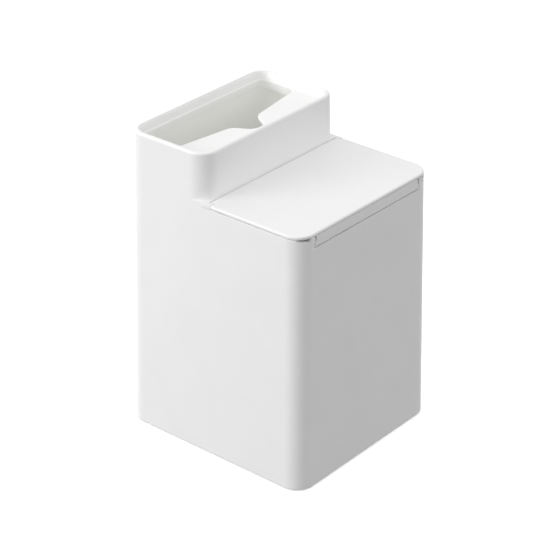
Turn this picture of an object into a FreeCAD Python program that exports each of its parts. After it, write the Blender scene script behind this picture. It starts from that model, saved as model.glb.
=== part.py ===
"""A compact household caddy: a tall open well behind a lower box with a hinged lid.

Millimetres, +Z up. The origin is on the floor under the middle of the footprint,
-Y is the front and the whole object is mirror-symmetric about x = 0.
"""

import FreeCAD, Part
import math
import os

# Outer shape. Widths and depths are those at the tower's crest; the sides flare towards the floor.
HEIGHT = 195.0
TOP_WIDTH = 120.0
TOP_DEPTH = 130.0
TOWER_DEPTH = 59.8
FLARE_AT_FLOOR = 3.1
CORNER_R = 11.4
CREST_R = 1.4
CREST_INNER_R = 0.4
RIM_EDGE_R = 0.4
FLOOR_EDGE_R = 0.5

# Walls and floor of the casing.
WALL = 2.6
CREST_WALL = 2.2
FOOT_PROUD = 0.6
PLATE_LOW = 2.6
PLATE_THICK = 2.0
PLATE_GAP = 0.3
PLATE_TOP_GAP = 0.1

# Lid and hinge.
LID_TOP = 165.7
LID_THICK = 2.2
BARREL_R = 1.3
LID_SHADOW_GAP = 0.3
LID_REAR_GAP = 0.3
LID_EDGE_R = 1.0
LID_UNDER_R = 0.6
LID_RIB_DEEP = 4.0
LID_RIB_THICK = 1.2
LID_RIB_INSET = 0.4
LID_RIB_Y = (-50.0, -8.0)
PIN_R = 0.75
PIN_RUNNING_GAP = 0.05
PIN_FIRM_GAP = 0.02
PIN_LENGTH = 9.2
PIN_BEHIND_SKIN = 0.1
CHEEK_THICK = 3.2
CHEEK_AHEAD = 2.0
CHEEK_DEEP = 2.0
CHEEK_GAP = 0.3
CHEEK_SKIN = 0.8
SHADOW_GROOVE_DEEP = 0.8
SHADOW_GROOVE_REACH = 2.6

# Soft pads between the lid and the casing's side rims.
BUMPER_Y = (-42.0, -36.0)
BUMPER_HALF = 0.8
BUMPER_SUNK = 0.6

# Front rail under the lid's front edge.
RAIL_DROP = 8.4
RAIL_GAP = 0.85
RAIL_HALF = 46.7
RAIL_LOW_HALF = 47.9
RAIL_STEP_DROP = 5.6
RAIL_END_SLOT = 1.5
RAIL_THICK = 2.3
RAIL_SHELF = 7.0
RAIL_SHELF_THICK = 1.4
RAIL_PEGS = (-36.0, 0.0, 36.0)
RAIL_PEG_INSET = 5.0
RAIL_PEG_R = 1.5
RAIL_PEG_LENGTH = 1.2
EAR_WIDTH = 2.3
SEAM_GROOVE_DEEP = 0.5
CORNER_RELIEF = 2.0
CORNER_RELIEF_REACH = 5.0

# Well: the collar's levels run from the crest down; its plan is measured from the tower's faces.
WELL_GAP = 0.2
COLLAR_HIGH = HEIGHT - 0.5
DISH_FLOOR = HEIGHT - 5.2
COLLAR_LOW = HEIGHT - 10.5
FLANGE_THICK = 2.0
SKIRT_THICK = 1.4
UPSTAND = 0.6
DISH_INSETS = (5.2, 5.0, 3.6)
DISH_CORNER_R = 4.6
HOLE_CORNER_R = 4.0
HOLE_EDGE_R = 0.5
HOLE_SIDE_INSET = 5.8
HOLE_REAR_INSET = 4.3
V_OUTER = 28.7
SHOULDER = (11.8, 22.3)
SHOULDER_R = 7.0
NOTCH = (4.5, 10.1)
NOTCH_R = 7.6
LINER_WALL = 1.2
LINER_GAP = 0.25
POT_GAP = 0.4
LEDGE_TOP = 148.0
LEDGE_THICK = 4.0
LEDGE_WIDTH = 1.0
LINER_LOW = 6.0
LINER_TAPER = 2.4
SEAT_GAP = 0.1

# Refill tray in the front box.
TRAY_RIM = 150.0
TRAY_RIM_THICK = 1.6
TRAY_RIM_GAP = 0.6
TRAY_BODY_GAP = 2.8
TRAY_LOW = 62.0
TRAY_WALL = 1.4
TRAY_TAPER = 1.5
TRAY_CORNER_R = 5.0
TRAY_RIM_CORNER_R = 6.0
RIB_Y = (-48.0, -12.0)
RIB_DEEP = 2.2
RIB_HALF = 1.0

# Base fasteners and feet.
SCREW_X = 55.4
SCREW_Y = 61.0
BOSS_R = 3.8
BOSS_TOP = 16.0
BOSS_CAP = 2.8
SCREW_R = 1.3
SCREW_HOLE_R = 1.6
SHANK_LENGTH = 8.5
TIP_LENGTH = 1.2
TIP_R = 0.3
HEAD_R = 2.6
HEAD_HIGH = 1.5
CROSS_HALF_LENGTH = 1.5
CROSS_HALF_WIDTH = 0.3
CROSS_DEEP = 0.8
FOOT_X = 44.0
FOOT_Y = 50.0
FOOT_R = 7.0
FOOT_EDGE_R = 0.6
FOOT_SPIGOT_R = 2.0
FOOT_SPIGOT_LENGTH = 1.2
SOCKET_GAP = 0.02
SOCKET_DEEPER = 0.1

# How far a cutting block runs past the faces it cuts.
PAST = 1.0
FAR_PAST = 5.0

# Tolerances for finding edges: within a hair of a level, or close to a place.
TINY = 0.0001
SNAP = 0.02

HALF_X = TOP_WIDTH / 2
Y_FRONT = -TOP_DEPTH / 2
Y_REAR = TOP_DEPTH / 2
Y_TOWER = Y_REAR - TOWER_DEPTH
LID_UNDER = LID_TOP - LID_THICK
RIM_TOP = LID_UNDER - LID_SHADOW_GAP
HINGE_Z = LID_TOP - BARREL_R
RAIL_LOW = LID_TOP - RAIL_DROP
CUTOUT_LOW = RAIL_LOW - RAIL_GAP
CUTOUT_HALF = RAIL_HALF + RAIL_END_SLOT
EAR_SIDE = CUTOUT_HALF + EAR_WIDTH
RAIL_PEG_Y = Y_FRONT + RAIL_PEG_INSET
PLATE_TOP = PLATE_LOW + PLATE_THICK


def flare(z):
    """How far each outer face stands out at height z, beyond its place at the crest."""
    return FLARE_AT_FLOOR * (HEIGHT - z) / HEIGHT


HINGE_Y = Y_TOWER - flare(LID_TOP) - LID_REAR_GAP - BARREL_R


def vec(x, y, z):
    return FreeCAD.Vector(x, y, z)


def box(x0, x1, y0, y1, z0, z1):
    return Part.makeBox(x1 - x0, y1 - y0, z1 - z0, vec(x0, y0, z0))


def mirrored(shape):
    """The same shape on the other side of the object's middle plane."""
    return shape.mirror(vec(0, 0, 0), vec(1, 0, 0))


def both_sides(shape):
    return [shape, mirrored(shape)]


def upright_edges(solid, height):
    """The edges that run up the whole height of a block, square or leaning."""
    return [e for e in solid.Edges if abs(e.BoundBox.ZLength - height) < TINY]


def outline(rectangle, z, radius):
    """A level rectangle (half width, front y, rear y) as a wire, with rounded corners if radius isn't 0."""
    half, front, rear = rectangle
    if radius == 0:
        ring = [vec(-half, front, z), vec(half, front, z), vec(half, rear, z), vec(-half, rear, z)]
        return Part.makePolygon(ring + [ring[0]])
    x, y0, y1 = half - radius, front + radius, rear - radius
    arcs = []
    for cx, cy, start in ((x, y1, 0), (-x, y1, 90), (-x, y0, 180), (x, y0, 270)):
        turns = [math.radians(start + step) for step in (0, 45, 90)]
        arcs.append([vec(cx + radius * math.cos(t), cy + radius * math.sin(t), z) for t in turns])
    edges = []
    for i, arc in enumerate(arcs):
        edges.append(Part.Arc(*arc).toShape())
        edges.append(Part.makeLine(arc[2], arcs[(i + 1) % 4][0]))
    return Part.Wire(edges)


def tapered_block(low, high, z_low, z_high, radius, low_radius=None):
    """A block that runs evenly from one level rectangle to another, with rounded uprights."""
    floor = outline(low, z_low, radius if low_radius is None else low_radius)
    return Part.makeLoft([floor, outline(high, z_high, radius)], True, True)


def straight_block(half, front, rear, z_low, z_high, radius):
    floor = Part.Face(outline((half, front, rear), z_low, radius))
    return floor.extrude(vec(0, 0, z_high - z_low))


def flared_block(half, front, rear, z_low, z_high, radius, rear_lean=1):
    """A block whose faces lean like the casing's. With rear_lean -1 its back leans like the tower's front."""
    low, high = flare(z_low), flare(z_high)
    return tapered_block(
        (half + low, front - low, rear + rear_lean * low),
        (half + high, front - high, rear + rear_lean * high),
        z_low,
        z_high,
        radius,
    )


def level_edges(solid, z):
    """The edges that lie level at height z."""
    found = []
    for e in solid.Edges:
        if abs(e.BoundBox.ZMin - z) < TINY and abs(e.BoundBox.ZMax - z) < TINY:
            found.append(e)
    return found


def fillet_at_height(solid, z, radius, inside=None):
    """Rounds the edges that lie level at height z, or those of them inside a box."""
    edges = [e for e in level_edges(solid, z) if inside is None or inside.isInside(e.BoundBox)]
    return solid.makeFillet(radius, edges)


def tower_block(inset, z_low, z_high):
    """An upright block inside the tower, the same distance from each of its faces at the crest."""
    front, rear = Y_TOWER + inset, Y_REAR - inset
    return straight_block(HALF_X - inset, front, rear, z_low, z_high, CORNER_R - inset)


def tower_mouth():
    """The room at the top of the tower that takes the collar and the liner's wide mouth."""
    return tower_block(CREST_WALL, LEDGE_TOP, HEIGHT + PAST)


def casing_outside():
    """The casing as one solid: the tower, and the low box with its softened rim."""
    tower = flared_block(HALF_X, Y_TOWER, Y_REAR, FOOT_PROUD, HEIGHT, CORNER_R)
    low_box = flared_block(HALF_X, Y_FRONT, Y_REAR, FOOT_PROUD, RIM_TOP, CORNER_R)
    low_box = fillet_at_height(low_box, RIM_TOP, RIM_EDGE_R)
    outside = tower.fuse(low_box).removeSplitter()
    outside = fillet_at_height(outside, FOOT_PROUD, FLOOR_EDGE_R)
    return fillet_at_height(outside, HEIGHT, CREST_R)


def casing_shell():
    """Tower and low box in one moulding, open below, with the wall between their two cells."""
    inner = HALF_X - WALL
    corner = CORNER_R - WALL
    front, middle, rear = Y_FRONT + WALL, Y_TOWER + WALL, Y_REAR - WALL
    ledge_low = LEDGE_TOP - LEDGE_THICK
    under = -PAST
    front_cell = flared_block(inner, front, Y_TOWER, under, RIM_TOP + PAST, corner, -1)
    rear_cell = flared_block(inner, middle, rear, under, ledge_low, corner)
    ledge_hole = tower_block(CREST_WALL + LEDGE_WIDTH, ledge_low - PAST, LEDGE_TOP + PAST)
    plate_room = flared_block(inner, front, rear, under, PLATE_TOP + PLATE_TOP_GAP, corner)
    shell = casing_outside().cut([front_cell, rear_cell, ledge_hole, tower_mouth(), plate_room])
    return fillet_at_height(shell, HEIGHT, CREST_INNER_R)


def lid_side_groove():
    """The shadow line under the lid, carried on over the hinge cheek and the tower's shoulder."""
    side = HALF_X + flare(RIM_TOP)
    front = HINGE_Y - CHEEK_AHEAD - PAST
    rear = Y_TOWER + SHADOW_GROOVE_REACH
    return box(side - SHADOW_GROOVE_DEEP, side + PAST, front, rear, RIM_TOP, LID_UNDER)


def hinge_cheek():
    """The shoulder beside the tower's rounded edge, with the round-nosed cheek that holds the lid's pin."""
    side = HALF_X + flare(LID_TOP)
    low = RIM_TOP - CHEEK_DEEP
    inside_tower = Y_TOWER + CORNER_R
    inner_face = side - CHEEK_THICK
    past = side + PAST
    start = vec(inner_face, HINGE_Y, HINGE_Z)
    nose = Part.makeCylinder(CHEEK_AHEAD, CHEEK_THICK + PAST, start, vec(1, 0, 0))
    stem = box(inner_face, past, HINGE_Y - CHEEK_AHEAD, inside_tower, low, HINGE_Z)
    behind = box(inner_face, past, HINGE_Y, inside_tower, low, LID_TOP)
    shoulder = box(HALF_X - CORNER_R, past, Y_TOWER - flare(LID_TOP), inside_tower, low, LID_TOP)
    body = flared_block(HALF_X, Y_FRONT, Y_REAR, low, LID_TOP, CORNER_R)
    return nose.fuse([stem, behind, shoulder]).common(body).cut(tower_mouth())


def cheek_bore():
    """The blind bore that the hinge pin turns in; a thin skin closes its outer end."""
    inner_face = HALF_X + flare(LID_TOP) - CHEEK_THICK
    start = vec(inner_face - PAST, HINGE_Y, HINGE_Z)
    length = PAST + CHEEK_THICK - CHEEK_SKIN
    return Part.makeCylinder(PIN_R + PIN_RUNNING_GAP, length, start, vec(1, 0, 0))


def barrel_channel():
    """The room in the casing's rim for the lid's barrel, in front of the tower and between the cheeks."""
    half = HALF_X + flare(LID_TOP) - CHEEK_THICK
    low = HINGE_Z - BARREL_R - CHEEK_GAP
    front = HINGE_Y - BARREL_R - CHEEK_GAP
    return box(-half, half, front, Y_TOWER - flare(low), low, RIM_TOP + PAST)


def corner_relief():
    """The slope that lowers the casing's rim under the lid's front corner."""
    side = HALF_X + flare(RIM_TOP)
    above = RIM_TOP + PAST
    low_point = vec(EAR_SIDE, 0, RIM_TOP - CORNER_RELIEF)
    profile = [low_point, vec(side, 0, RIM_TOP), vec(side, 0, above), vec(EAR_SIDE, 0, above)]
    face = Part.Face(Part.makePolygon(profile + [low_point]))
    front = Y_FRONT - FLARE_AT_FLOOR
    slope = face.extrude(vec(0, FLARE_AT_FLOOR + CORNER_RELIEF_REACH, 0))
    slope.translate(vec(0, front, 0))
    return slope


def rail_cutout():
    """The opening in the front wall that takes the lid's front rail."""
    front, rear = Y_FRONT - FAR_PAST, Y_FRONT + WALL + PAST
    return box(-CUTOUT_HALF, CUTOUT_HALF, front, rear, CUTOUT_LOW, RIM_TOP + PAST)


def seam_groove():
    """A shallow groove that carries the rail's lower seam across the ear beside the cutout."""
    face = Y_FRONT - flare(RAIL_LOW)
    return box(CUTOUT_HALF - PAST, EAR_SIDE, face - PAST, face + SEAM_GROOVE_DEEP, CUTOUT_LOW, RAIL_LOW)


def screw_places():
    return [(x, y) for x in (-SCREW_X, SCREW_X) for y in (-SCREW_Y, SCREW_Y)]


def tray_ribs():
    """Upright ribs on the front box's side walls that carry the tray's rim."""
    inner = HALF_X - WALL
    outer = inner + flare(TRAY_RIM) + PAST
    ribs = []
    for y in RIB_Y:
        ribs += both_sides(box(inner - RIB_DEEP, outer, y - RIB_HALF, y + RIB_HALF, TRAY_LOW, TRAY_RIM))
    return ribs


def screw_bosses():
    low = PLATE_TOP + PLATE_TOP_GAP
    return [Part.makeCylinder(BOSS_R, BOSS_TOP - low, vec(x, y, low)) for x, y in screw_places()]


def pilot_bores():
    bore = (SCREW_R + PIN_RUNNING_GAP, BOSS_TOP - BOSS_CAP - PLATE_LOW)
    return [Part.makeCylinder(*bore, vec(x, y, PLATE_LOW)) for x, y in screw_places()]


def outer_casing():
    shell = casing_shell().fuse(screw_bosses() + tray_ribs() + both_sides(hinge_cheek()))
    cuts = both_sides(cheek_bore()) + both_sides(lid_side_groove()) + both_sides(corner_relief())
    cuts += [rail_cutout(), barrel_channel()] + both_sides(seam_groove()) + pilot_bores()
    return shell.cut(cuts).removeSplitter()


def base_plate():
    """The floor panel: clearance holes for the screws and blind sockets for the feet."""
    inset = WALL + PLATE_GAP
    front, rear = Y_FRONT + inset, Y_REAR - inset
    plate = flared_block(HALF_X - inset, front, rear, PLATE_LOW, PLATE_TOP, CORNER_R - inset)
    holes = [Part.makeCylinder(SCREW_HOLE_R, PLATE_TOP + PAST, vec(x, y, 0)) for x, y in screw_places()]
    socket = (FOOT_SPIGOT_R + SOCKET_GAP, FOOT_SPIGOT_LENGTH + SOCKET_DEEPER)
    holes += [Part.makeCylinder(*socket, vec(x, y, PLATE_LOW)) for x, y in foot_places().values()]
    return plate.cut(holes)


def base_screws():
    """Four pan-head screws with a cross recess."""
    head_low = PLATE_LOW - HEAD_HIGH
    screws = []
    for x, y in screw_places():
        head = Part.makeCylinder(HEAD_R, HEAD_HIGH, vec(x, y, head_low))
        head = fillet_at_height(head, head_low, FLOOR_EDGE_R)
        for turn in (0, 90):
            length, width = CROSS_HALF_LENGTH, CROSS_HALF_WIDTH
            slot = box(-length, length, -width, width, -PAST, CROSS_DEEP)
            slot.rotate(vec(0, 0, 0), vec(0, 0, 1), turn)
            slot.translate(vec(x, y, head_low))
            head = head.cut(slot)
        shank = Part.makeCylinder(SCREW_R, SHANK_LENGTH, vec(x, y, PLATE_LOW))
        tip = Part.makeCone(SCREW_R, TIP_R, TIP_LENGTH, vec(x, y, PLATE_LOW + SHANK_LENGTH))
        screws.append(head.fuse([shank, tip]).removeSplitter())
    return Part.makeCompound(screws)


def foot_places():
    return {
        "foot_front_left": (-FOOT_X, -FOOT_Y),
        "foot_front_right": (FOOT_X, -FOOT_Y),
        "foot_rear_left": (-FOOT_X, FOOT_Y),
        "foot_rear_right": (FOOT_X, FOOT_Y),
    }


def foot(x, y):
    """A rubber pad with a spigot pushed into the base plate."""
    pad = Part.makeCylinder(FOOT_R, PLATE_LOW, vec(x, y, 0))
    pad = fillet_at_height(pad, 0, FOOT_EDGE_R)
    spigot = Part.makeCylinder(FOOT_SPIGOT_R, FOOT_SPIGOT_LENGTH, vec(x, y, PLATE_LOW))
    return pad.fuse(spigot).removeSplitter()


def well_hole(z_low, z_high):
    """The hole in the rim, square at the back, with a shallow V in front that leads into the notch."""
    rear = (HALF_X - HOLE_SIDE_INSET, Y_REAR - HOLE_REAR_INSET)
    outer = (rear[0], Y_TOWER + V_OUTER)
    shoulder = (SHOULDER[0], Y_TOWER + SHOULDER[1])
    notch = (NOTCH[0], Y_TOWER + NOTCH[1])
    right = [rear, outer, shoulder, notch]
    points = right + [(-x, y) for x, y in reversed(right)]
    ring = [vec(x, y, z_low) for x, y in points]
    hole = Part.Face(Part.makePolygon(ring + [ring[0]])).extrude(vec(0, 0, z_high - z_low))
    rounding = {rear: HOLE_CORNER_R, outer: HOLE_CORNER_R, shoulder: SHOULDER_R, notch: NOTCH_R}
    for (x, y), radius in rounding.items():
        corners = []
        for e in upright_edges(hole, z_high - z_low):
            middle = e.CenterOfMass
            if abs(abs(middle.x) - x) < SNAP and abs(middle.y - y) < SNAP:
                corners.append(e)
        hole = hole.makeFillet(radius, corners)
    return hole


def collar_dish(inset):
    """The sunk room inside the collar's upstand, narrower at its floor than at its top."""
    side_inset, front_inset, rear_inset = DISH_INSETS
    top_inset = inset + UPSTAND
    return tapered_block(
        (HALF_X - side_inset, Y_TOWER + front_inset, Y_REAR - rear_inset),
        (HALF_X - top_inset, Y_TOWER + top_inset, Y_REAR - top_inset),
        DISH_FLOOR,
        COLLAR_HIGH + SNAP,
        CORNER_R - top_inset,
        DISH_CORNER_R,
    )


def collar_pocket(skirt):
    """The room under the front flange, inside the collar's outer skirt."""
    front, rear = Y_TOWER + skirt, Y_TOWER + V_OUTER
    high = DISH_FLOOR - FLANGE_THICK
    return straight_block(HALF_X - skirt, front, rear, COLLAR_LOW - PAST, high, HOLE_CORNER_R)


def well_collar():
    """The dished rim insert: an upstand, a deep band at the sides and back, and a thin flange in front."""
    inset = CREST_WALL + WELL_GAP
    collar = tower_block(inset, COLLAR_LOW, COLLAR_HIGH)
    hole = well_hole(COLLAR_LOW - PAST, HEIGHT + PAST)
    collar = collar.cut([collar_dish(inset), collar_pocket(inset + SKIRT_THICK), hole])
    rim = hole.BoundBox
    rim.enlarge(SNAP)
    return fillet_at_height(collar, DISH_FLOOR, HOLE_EDGE_R, rim)


def pot(thickness, z_low, z_step, z_high):
    """The liner's outline pulled in by a thickness: a tapered pot with a wider mouth above its step."""
    gap = CREST_WALL + LINER_GAP + thickness
    high_inset = CREST_WALL + LEDGE_WIDTH + POT_GAP + thickness
    low_inset = high_inset + LINER_TAPER
    mouth = tower_block(gap, z_step, z_high)
    lower = tapered_block(
        (HALF_X - low_inset, Y_TOWER + low_inset, Y_REAR - low_inset),
        (HALF_X - high_inset, Y_TOWER + high_inset, Y_REAR - high_inset),
        z_low,
        z_step,
        CORNER_R - high_inset,
    )
    return mouth.fuse(lower)


def well_liner():
    """The thin inner pot. Its wide mouth rests on the casing's ledge by the step below it."""
    step = LEDGE_TOP + SEAT_GAP
    outer = pot(0, LINER_LOW, step, COLLAR_LOW - SEAT_GAP)
    inner = pot(LINER_WALL, LINER_LOW + LINER_WALL, step + LINER_WALL, COLLAR_LOW + PAST)
    return outer.cut(inner).removeSplitter()


def tray_pan(thickness, z_low, z_high):
    """The tray's tapered body pulled in by a thickness."""
    inset = WALL + TRAY_BODY_GAP + thickness
    rear = Y_TOWER - flare(TRAY_RIM) - TRAY_BODY_GAP - thickness
    high = (HALF_X - inset, Y_FRONT + inset, rear)
    low = (high[0] - TRAY_TAPER, high[1] + TRAY_TAPER, high[2] - TRAY_TAPER)
    return tapered_block(low, high, z_low, z_high, TRAY_CORNER_R - thickness)


def refill_tray():
    """An open tray hung by its rim in the front box."""
    inset = WALL + TRAY_RIM_GAP
    rear = Y_TOWER - flare(TRAY_RIM) - TRAY_RIM_GAP
    rim_low = TRAY_RIM + SEAT_GAP
    rim_high = rim_low + TRAY_RIM_THICK
    rim = straight_block(HALF_X - inset, Y_FRONT + inset, rear, rim_low, rim_high, TRAY_RIM_CORNER_R)
    outer = tray_pan(0, TRAY_LOW, rim_high).fuse(rim)
    inner = tray_pan(TRAY_WALL, TRAY_LOW + TRAY_WALL, rim_high + PAST)
    return outer.cut(inner).removeSplitter()


def lid_plate():
    """The lid's flat plate with rounded front corners and softened edges, square at the back."""
    side = HALF_X + flare(HINGE_Z)
    front = Y_FRONT - flare(HINGE_Z)
    plate = box(-side, side, front, HINGE_Y, LID_UNDER, LID_TOP)
    corners = [e for e in upright_edges(plate, LID_THICK) if e.BoundBox.YMin < 0]
    plate = plate.makeFillet(CORNER_R, corners)
    for z, radius in ((LID_TOP, LID_EDGE_R), (LID_UNDER, LID_UNDER_R)):
        level = [e for e in level_edges(plate, z) if e.BoundBox.YMin < HINGE_Y - SNAP]
        plate = plate.makeFillet(radius, level)
    return plate


def lid_panel():
    """The lid. Its rear edge is the round barrel that the pins sit in."""
    side = HALF_X + flare(HINGE_Z)
    half = side - CHEEK_THICK - CHEEK_GAP
    barrel = Part.makeCylinder(BARREL_R, 2 * half, vec(-half, HINGE_Y, HINGE_Z), vec(1, 0, 0))
    notch_front = HINGE_Y - CHEEK_AHEAD - CHEEK_GAP
    notch = box(half, side + PAST, notch_front, HINGE_Y + FAR_PAST, LID_UNDER - PAST, LID_TOP + PAST)
    rib_outer = half - LID_RIB_INSET
    rib = box(rib_outer - LID_RIB_THICK, rib_outer, *LID_RIB_Y, LID_UNDER - LID_RIB_DEEP, LID_UNDER)
    plate = lid_plate().cut(both_sides(notch)).fuse([barrel] + both_sides(rib))
    bore_start = vec(half - PIN_LENGTH + CHEEK_THICK - PAST, HINGE_Y, HINGE_Z)
    cuts = both_sides(Part.makeCylinder(PIN_R + PIN_FIRM_GAP, PIN_LENGTH, bore_start, vec(1, 0, 0)))
    peg_hole = (RAIL_PEG_R + SOCKET_GAP, RAIL_PEG_LENGTH + SOCKET_DEEPER)
    cuts += [Part.makeCylinder(*peg_hole, vec(x, RAIL_PEG_Y, LID_UNDER - SEAT_GAP)) for x in RAIL_PEGS]
    cuts += both_sides(bumper_block(SOCKET_GAP, BUMPER_SUNK + SOCKET_DEEPER, LID_UNDER))
    return plate.cut(cuts).removeSplitter()


def rail_face(half, z_low, z_high):
    """A length of the rail's upright face, leaning like the casing's front."""
    face = flared_block(half, Y_FRONT, Y_FRONT + RAIL_THICK, z_low, z_high, 0, -1)
    return face.common(box(-half, half, Y_FRONT - FAR_PAST, Y_FRONT + FAR_PAST, z_low, z_high))


def lid_front_rail():
    """The flush strip under the lid's front edge: an angle held by three pegs."""
    top = LID_UNDER - SEAT_GAP
    step = LID_TOP - RAIL_STEP_DROP
    upper = rail_face(RAIL_HALF, RAIL_LOW, top)
    lower = rail_face(RAIL_LOW_HALF, RAIL_LOW, step)
    shelf_half = RAIL_HALF - PAST
    shelf_front = Y_FRONT + PAST
    shelf = box(-shelf_half, shelf_half, shelf_front, shelf_front + RAIL_SHELF, top - RAIL_SHELF_THICK, top)
    pegs = [Part.makeCylinder(RAIL_PEG_R, RAIL_PEG_LENGTH, vec(x, RAIL_PEG_Y, top)) for x in RAIL_PEGS]
    return upper.fuse([lower, shelf] + pegs).removeSplitter()


def hinge_pin(side):
    """A plain steel pin, firm in the lid's barrel and free in the casing's cheek."""
    outer_end = HALF_X + flare(LID_TOP) - CHEEK_SKIN - PIN_BEHIND_SKIN
    start = vec(outer_end - PIN_LENGTH, HINGE_Y, HINGE_Z)
    pin = Part.makeCylinder(PIN_R, PIN_LENGTH, start, vec(1, 0, 0))
    return pin if side > 0 else mirrored(pin)


def bumper_block(grow, depth, z):
    """The outline of a lid bumper on the right side, above or below the lid's underside."""
    middle = HALF_X + flare(RIM_TOP) - WALL / 2
    half = BUMPER_HALF + grow
    return box(middle - half, middle + half, BUMPER_Y[0] - grow, BUMPER_Y[1] + grow, z, z + depth)


def lid_bumper(side):
    """A soft pad pressed into the lid's underside; it almost touches the rim when the lid is shut."""
    drop = LID_SHADOW_GAP - PIN_RUNNING_GAP
    pad = bumper_block(0, BUMPER_SUNK + drop, LID_UNDER - drop)
    return pad if side > 0 else mirrored(pad)


def parts():
    made = {
        "outer_casing": outer_casing(),
        "base_plate": base_plate(),
        "base_screws": base_screws(),
        "well_collar": well_collar(),
        "well_liner": well_liner(),
        "refill_tray": refill_tray(),
        "lid_panel": lid_panel(),
        "lid_front_rail": lid_front_rail(),
        "hinge_pin_left": hinge_pin(-1),
        "hinge_pin_right": hinge_pin(1),
        "lid_bumper_left": lid_bumper(-1),
        "lid_bumper_right": lid_bumper(1),
    }
    for name, (x, y) in foot_places().items():
        made[name] = foot(x, y)
    return made


os.makedirs("parts", exist_ok=True)
for name, shape in parts().items():
    shape.exportStep(f"parts/{name}.step")
    size = shape.BoundBox
    print(f"{name}: {len(shape.Solids)} solid, valid {shape.isValid()}, {shape.Volume / 1000:.2f} cm3,"
          f" {size.XLength:.1f} x {size.YLength:.1f} x {size.ZLength:.1f}")
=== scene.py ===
import math

import bpy
from mathutils import Matrix, Vector

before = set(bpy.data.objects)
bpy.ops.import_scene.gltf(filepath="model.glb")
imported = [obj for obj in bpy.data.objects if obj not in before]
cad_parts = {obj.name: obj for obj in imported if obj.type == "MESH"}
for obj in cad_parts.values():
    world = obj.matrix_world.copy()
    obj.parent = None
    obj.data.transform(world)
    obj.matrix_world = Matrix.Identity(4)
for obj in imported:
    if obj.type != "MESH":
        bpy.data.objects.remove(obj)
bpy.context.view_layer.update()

# ---------------------------------------------------------------- camera
# The camera stands in front and to the left. Its place is in crest widths along its own right, up and back.
CREST_WIDTH = 0.120
CAMERA_LENS = 135.80
SENSOR_WIDTH = 36.0
AZIMUTH, ELEVATION, ROLL = map(math.radians, (-50.2589, 28.6512, 0.1232))
ALONG_RIGHT, ALONG_UP, ALONG_BACK = 0.0028, 0.6817, 10.9507
back = Vector((
    math.sin(AZIMUTH) * math.cos(ELEVATION),
    -math.cos(AZIMUTH) * math.cos(ELEVATION),
    math.sin(ELEVATION),
))
level_right = Vector((math.cos(AZIMUTH), math.sin(AZIMUTH), 0))
level_up = back.cross(level_right)
right = level_right * math.cos(ROLL) + level_up * math.sin(ROLL)
up = level_up * math.cos(ROLL) - level_right * math.sin(ROLL)
place = (ALONG_RIGHT * right + ALONG_UP * up + ALONG_BACK * back) * CREST_WIDTH

camera = bpy.data.objects.new("camera", bpy.data.cameras.new("camera"))
camera.data.lens = CAMERA_LENS
camera.data.sensor_width = SENSOR_WIDTH
camera.data.clip_start, camera.data.clip_end = 0.05, 50.0
turn = Matrix((right, up, back)).transposed().to_4x4()
camera.matrix_world = Matrix.Translation(place) @ turn
bpy.context.scene.collection.objects.link(camera)
bpy.context.scene.camera = camera
bpy.context.scene.view_settings.view_transform = "Standard"
# Enough bounces for the light inside the well.
bpy.context.scene.cycles.diffuse_bounces = 24
bpy.context.scene.cycles.max_bounces = 28


# ---------------------------------------------------------------- node helpers
def new_tree(material):
    material.use_nodes = True
    tree = material.node_tree
    tree.nodes.clear()
    return tree


def node(tree, kind, inputs=None, **settings):
    made = tree.nodes.new(kind)
    for key, value in settings.items():
        setattr(made, key, value)
    for key, value in (inputs or {}).items():
        socket = made.inputs[key]
        if isinstance(value, bpy.types.NodeSocket):
            tree.links.new(value, socket)
        else:
            socket.default_value = value
    return made


def grey(value, tint=(1, 1, 1)):
    return (value * tint[0], value * tint[1], value * tint[2], 1)


# Most of a noise value lies between these two.
NOISE_LOW, NOISE_HIGH = 0.3, 0.7


def two_tone(tree, factor, low, high):
    """A colour that runs from low to high as a noise value does."""
    ramp = node(tree, "ShaderNodeValToRGB", {"Fac": factor})
    for element, position, colour in zip(ramp.color_ramp.elements, (NOISE_LOW, NOISE_HIGH), (low, high)):
        element.position = position
        element.color = colour
    return ramp.outputs["Color"]


def spread(tree, factor, low, high):
    """A value that runs from low to high as a noise value does."""
    span = {"From Min": NOISE_LOW, "From Max": NOISE_HIGH, "To Min": low, "To Max": high}
    return node(tree, "ShaderNodeMapRange", {"Value": factor, **span}).outputs["Result"]


def noise(tree, place, scale, detail, roughness=0.5):
    inputs = {"Vector": place, "Scale": scale, "Detail": detail, "Roughness": roughness}
    return node(tree, "ShaderNodeTexNoise", inputs).outputs["Fac"]


def finish_tree(tree, colour, roughness, bump, **others):
    """The shader and the output that end each of the finishes."""
    inputs = {"Base Color": colour, "Roughness": roughness, "Normal": bump.outputs["Normal"]}
    inputs.update(others)
    shader = node(tree, "ShaderNodeBsdfPrincipled", inputs)
    node(tree, "ShaderNodeOutputMaterial", {"Surface": shader.outputs["BSDF"]})


def moulded_plastic(name, low, high, rough, grain, painted_glow=0.0):
    """Moulded plastic: slight mottling, a fine spark-eroded grain, and roughness that follows it.

    The last value is a painted glow, a faint emission that lifts the shade inside the well."""
    material = bpy.data.materials.new(name)
    tree = new_tree(material)
    place = node(tree, "ShaderNodeTexCoord").outputs["Object"]
    mottle = noise(tree, place, 38.0, 3.0, 0.55)
    fine = noise(tree, place, 2600.0, 2.0, 0.6)
    coarse = noise(tree, place, 620.0, 2.0)
    both = node(tree, "ShaderNodeMath", {0: fine, 1: coarse}, operation="ADD").outputs[0]
    bump = node(tree, "ShaderNodeBump", {"Height": both, "Strength": grain, "Distance": 0.00002})
    # This emission is painted light: a faint glow that brightens shaded surfaces.
    glow = {"Emission Color": high, "Emission Strength": painted_glow}
    roughness = spread(tree, coarse, rough - 0.05, rough + 0.05)
    finish_tree(tree, two_tone(tree, mottle, low, high), roughness, bump, **glow)
    return material


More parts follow.
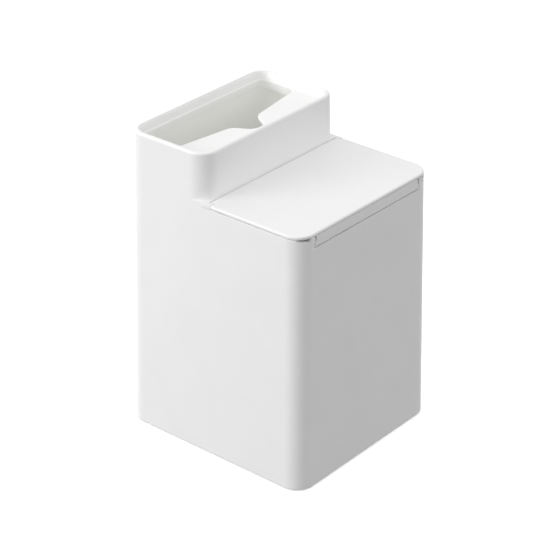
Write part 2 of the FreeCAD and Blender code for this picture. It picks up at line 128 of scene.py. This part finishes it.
def rubber(name, low, high, rough):
    """Matt rubber: cloudy colour and small pits."""
    material = bpy.data.materials.new(name)
    tree = new_tree(material)
    place = node(tree, "ShaderNodeTexCoord").outputs["Object"]
    cloud = noise(tree, place, 240.0, 4.0, 0.6)
    pits = noise(tree, place, 3200.0, 2.0)
    bump = node(tree, "ShaderNodeBump", {"Height": pits, "Strength": 0.5, "Distance": 0.00004})
    roughness = spread(tree, cloud, rough - 0.06, rough + 0.06)
    finish_tree(tree, two_tone(tree, cloud, low, high), roughness, bump, **{"Specular IOR Level": 0.35})
    return material


def drawn_steel(name, along):
    """Bright steel with fine lines running round or along the piece."""
    material = bpy.data.materials.new(name)
    tree = new_tree(material)
    place = node(tree, "ShaderNodeTexCoord").outputs["Object"]
    stretched = node(tree, "ShaderNodeMapping", {"Vector": place, "Scale": along}).outputs["Vector"]
    lines = noise(tree, stretched, 900.0, 3.0)
    bump = node(tree, "ShaderNodeBump", {"Height": lines, "Strength": 0.25, "Distance": 0.00002})
    colour = two_tone(tree, lines, grey(0.48), grey(0.62))
    finish_tree(tree, colour, spread(tree, lines, 0.22, 0.36), bump, Metallic=1.0)
    return material


# ---------------------------------------------------------------- finishes
COLLAR_TINT = (1, 1, 0.995)
LINER_TINT = (1, 1, 0.985)

casing_white = moulded_plastic("casing_white", grey(0.865), grey(0.885), rough=0.46, grain=0.35)
lid_white = moulded_plastic("lid_white", grey(0.865), grey(0.885), rough=0.44, grain=0.35)
# Painted light: the collar and liner whites are lighter than the casing's white, which lifts the shade
# inside the well.
collar_pair = grey(0.895, COLLAR_TINT), grey(0.915, COLLAR_TINT)
collar_white = moulded_plastic("collar_white", *collar_pair, rough=0.48, grain=0.35)
liner_pair = grey(0.915, LINER_TINT), grey(0.935, LINER_TINT)
# The liner and the refill tray glow faintly: painted light that lifts the shade inside the well.
liner_pale = moulded_plastic("liner_pale", *liner_pair, rough=0.5, grain=0.3, painted_glow=0.016)
foot_grey = rubber("foot_grey", grey(0.20), grey(0.26), rough=0.75)
pad_pale = rubber("pad_pale", grey(0.55), grey(0.62), rough=0.7)
screw_steel = drawn_steel("screw_steel", along=(1, 1, 6))
pin_steel = drawn_steel("pin_steel", along=(0.1, 1, 1))

FINISHES = {
    "outer_casing": casing_white,
    "base_plate": casing_white,
    "base_screws": screw_steel,
    "well_collar": collar_white,
    "well_liner": liner_pale,
    "refill_tray": liner_pale,
    "lid_panel": lid_white,
    "lid_front_rail": lid_white,
    "hinge_pin_left": pin_steel,
    "hinge_pin_right": pin_steel,
    "lid_bumper_left": pad_pale,
    "lid_bumper_right": pad_pale,
    "foot_front_left": foot_grey,
    "foot_front_right": foot_grey,
    "foot_rear_left": foot_grey,
    "foot_rear_right": foot_grey,
}
for name, finish in FINISHES.items():
    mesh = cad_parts[name].data
    mesh.materials.clear()
    mesh.materials.append(finish)


# ---------------------------------------------------------------- floor, world and lights
FLOOR_HALF = 6.0
FLOOR_LEVEL = -0.0001
FLOOR_WHITE = 0.93
FLOOR_GLOW = 0.4
HORIZON_BLUR = 0.08
SKY_ABOVE, SKY_BELOW = 0.94, 0.0


def stage_floor():
    """A pale floor a hair under the feet. No diffuse light comes off it, but reflections show it."""
    half, low = FLOOR_HALF, FLOOR_LEVEL
    corners = [(-half, -half, low), (half, -half, low), (half, half, low), (-half, half, low)]
    mesh = bpy.data.meshes.new("floor")
    mesh.from_pydata(corners, [], [(0, 1, 2, 3)])
    floor = bpy.data.objects.new("floor", mesh)
    bpy.context.scene.collection.objects.link(floor)
    material = bpy.data.materials.new("floor_pale")
    tree = new_tree(material)
    shader = node(tree, "ShaderNodeBsdfPrincipled", {
        "Base Color": grey(FLOOR_WHITE), "Roughness": 0.9, "Specular IOR Level": 0.1,
        "Emission Color": grey(1.0), "Emission Strength": FLOOR_GLOW,
    })
    node(tree, "ShaderNodeOutputMaterial", {"Surface": shader.outputs["BSDF"]})
    mesh.materials.append(material)
    floor.visible_diffuse = False


def studio_world(above, below):
    """An even, soft light from above the horizon."""
    world = bpy.data.worlds.new("studio")
    bpy.context.scene.world = world
    world.use_nodes = True
    tree = world.node_tree
    tree.nodes.clear()
    way = node(tree, "ShaderNodeTexCoord").outputs["Generated"]
    height = node(tree, "ShaderNodeSeparateXYZ", {"Vector": way}).outputs["Z"]
    span = {"From Min": -HORIZON_BLUR, "From Max": HORIZON_BLUR, "To Min": below, "To Max": above}
    ramp = node(tree, "ShaderNodeMapRange", {"Value": height, **span}, interpolation_type="SMOOTHSTEP")
    inputs = {"Color": grey(1.0), "Strength": ramp.outputs["Result"]}
    shader = node(tree, "ShaderNodeBackground", inputs)
    node(tree, "ShaderNodeOutputWorld", {"Surface": shader.outputs["Background"]})


def softbox(name, centre, target, size, power):
    """A rectangular light at a centre, turned to face a target."""
    light = bpy.data.lights.new(name, "AREA")
    light.shape = "RECTANGLE"
    light.size, light.size_y = size
    light.energy = power
    lamp = bpy.data.objects.new(name, light)
    aim = Vector(target) - Vector(centre)
    lamp.matrix_world = Matrix.Translation(centre) @ aim.to_track_quat("-Z", "Y").to_matrix().to_4x4()
    bpy.context.scene.collection.objects.link(lamp)


stage_floor()
studio_world(SKY_ABOVE, SKY_BELOW)
softbox("softbox_left", centre=(-1.25, 0.78, 0.46), target=(0, 0, 0.12), size=(0.7, 0.6), power=11.3)
